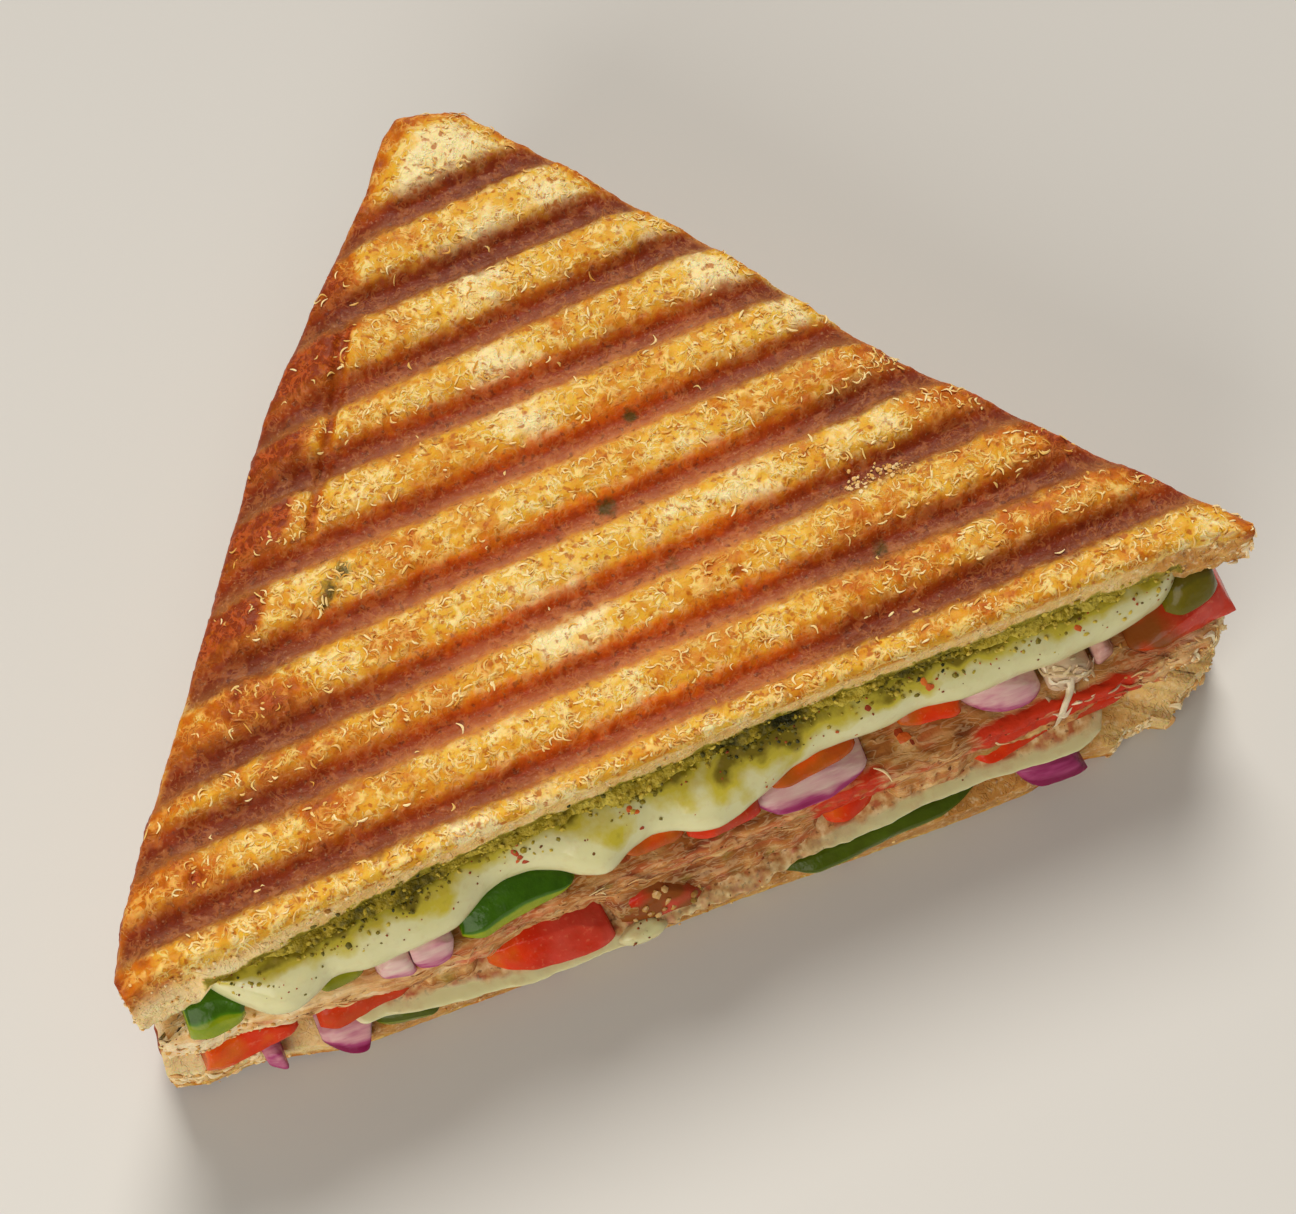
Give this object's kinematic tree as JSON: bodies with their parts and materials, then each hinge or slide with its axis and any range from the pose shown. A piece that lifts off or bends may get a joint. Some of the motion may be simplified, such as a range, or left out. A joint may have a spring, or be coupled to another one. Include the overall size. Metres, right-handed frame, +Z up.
{
  "type": "grilled vegetable cheese sandwich",
  "caption": "Half of a grilled three-slice sandwich cut corner to corner, with melted cheese, chutney and vegetable slices showing at the cut.",
  "frame": {"origin": "middle of the box around the half sandwich in plan, on the plane it rests on", "axes": "+X along the cut, +Y from the cut face to the corner of the slice opposite it, +Z up through the toasted top"},
  "size_m": [0.1476, 0.1068, 0.0399],
  "materials": {
    "toast": "grilled bread crust with a coarse fried crumb, dark in the grooves",
    "crumb": "soft bread crumb, soaked and lightly browned",
    "chutney": "moist green herb chutney with coarse grains",
    "cheese": "melted cheese, smooth and slightly glossy",
    "pepper": "glossy wet skin of green capsicum",
    "onion": "wet translucent onion with a purple edge",
    "tomato": "wet tomato flesh"
  },
  "bodies": {
    "root": {"bread_bottom": "toast", "bread_middle": "crumb", "bread_top": "toast", "cheese_lower": "cheese", "cheese_upper": "cheese", "chutney": "chutney", "onion_base_1": "onion", "onion_base_2": "onion", "onion_base_3": "onion", "onion_upper_1": "onion", "onion_upper_2": "onion", "onion_upper_3": "onion", "onion_upper_4": "onion", "onion_upper_5": "onion", "onion_upper_6": "onion", "pepper_base_1": "pepper", "pepper_base_2": "pepper", "pepper_upper_1": "pepper", "pepper_upper_2": "pepper", "pepper_upper_3": "pepper", "pepper_upper_4": "pepper", "tomato_lower_1": "tomato", "tomato_lower_2": "tomato", "tomato_lower_3": "tomato", "tomato_lower_4": "tomato", "tomato_lower_5": "tomato", "tomato_lower_6": "tomato", "tomato_upper_1": "tomato", "tomato_upper_2": "tomato", "tomato_upper_3": "tomato", "tomato_upper_4": "tomato", "tomato_upper_5": "tomato"}
  },
  "joints": []
}
